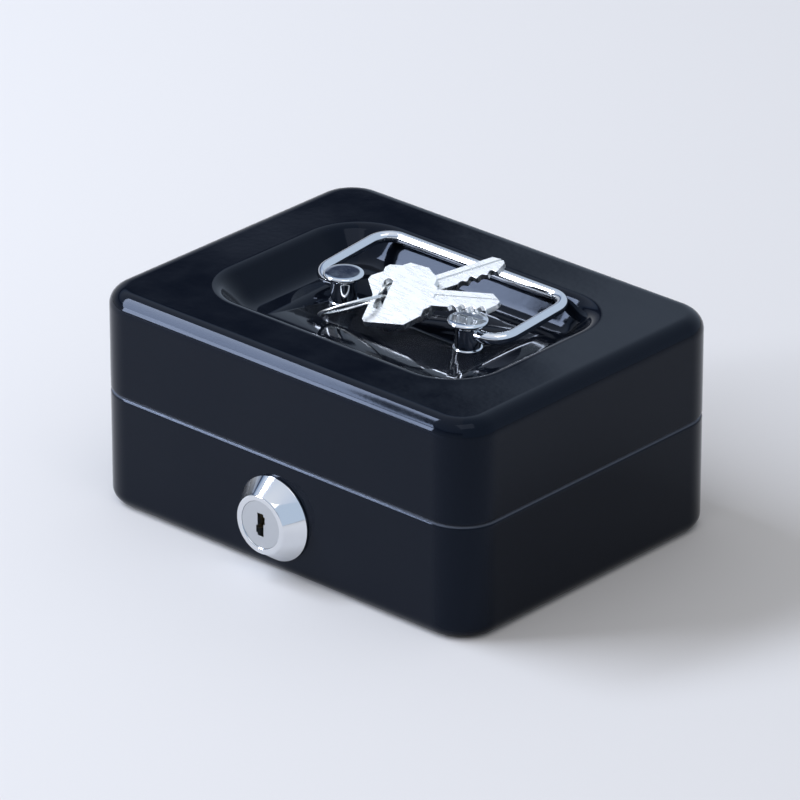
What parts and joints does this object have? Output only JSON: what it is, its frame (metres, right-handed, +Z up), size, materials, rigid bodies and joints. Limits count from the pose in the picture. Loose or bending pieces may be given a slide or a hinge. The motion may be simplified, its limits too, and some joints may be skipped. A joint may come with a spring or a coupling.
{
  "type": "cash box",
  "caption": "Small steel cash box with a recessed lid, folding bail handle, front cam lock, lift-out coin tray, and keys on a ring lying on the lid.",
  "frame": {"origin": "centre of the case's flat base, on the surface it stands on", "axes": "+Z up, +X along the long side, the lock faces -Y and the hinges are at +Y"},
  "size_m": [0.125, 0.1045, 0.0672],
  "materials": {
    "black_powder_coat": "gloss",
    "chrome_plate": "polished",
    "zinc_plated_steel": "satin",
    "nickel_plate": "satin",
    "black_abs": "fine moulded texture",
    "wafer_brass": "stamped",
    "spring_steel": "drawn wire"
  },
  "bodies": {
    "case": {"body_shell": "black_powder_coat", "hinge_leaf_body_left": "black_powder_coat", "hinge_leaf_body_right": "black_powder_coat", "hinge_pin_left": "zinc_plated_steel", "hinge_pin_right": "zinc_plated_steel", "lock_housing": "chrome_plate", "lock_clip": "zinc_plated_steel", "tray_rest_left": "black_powder_coat", "tray_rest_right": "black_powder_coat"},
    "lid": {"lid_shell": "black_powder_coat", "hinge_leaf_lid_left": "black_powder_coat", "hinge_leaf_lid_right": "black_powder_coat", "handle_post_left": "chrome_plate", "handle_post_right": "chrome_plate", "handle_washers": "zinc_plated_steel", "lid_catch": "zinc_plated_steel"},
    "handle": {"handle_bail": "chrome_plate"},
    "lock": {"lock_plug": "chrome_plate", "lock_cam": "zinc_plated_steel", "cam_washer": "zinc_plated_steel", "cam_screw": "zinc_plated_steel", "lock_wafers": "wafer_brass", "wafer_springs": "spring_steel"},
    "tray": {"coin_tray": "black_abs"},
    "keys": {"key_1": "nickel_plate", "key_2": "nickel_plate", "key_ring": "nickel_plate"}
  },
  "joints": [
    {"name": "lid_hinge", "type": "hinge", "parent": "case", "child": "lid", "pos_m": [0, 0.0495, 0.031], "axis": [-1, 0, 0], "range_deg": [0, 100]},
    {"name": "handle_swing", "type": "hinge", "parent": "lid", "child": "handle", "pos_m": [0, 0, 0.0555], "axis": [1, 0, 0], "range_deg": [0, 170]},
    {"name": "lock_turn", "type": "hinge", "parent": "case", "child": "lock", "pos_m": [0, -0.0475, 0.015], "axis": [0, 1, 0], "range_deg": [0, 90]},
    {"name": "tray_lift", "type": "slide", "parent": "case", "child": "tray", "axis": [0, 0, 1], "range_m": [0, 0.011]},
    {"name": "keys_lift", "type": "slide", "parent": "lid", "child": "keys", "axis": [0, 0, 1], "range_m": [0, 0.04]}
  ]
}
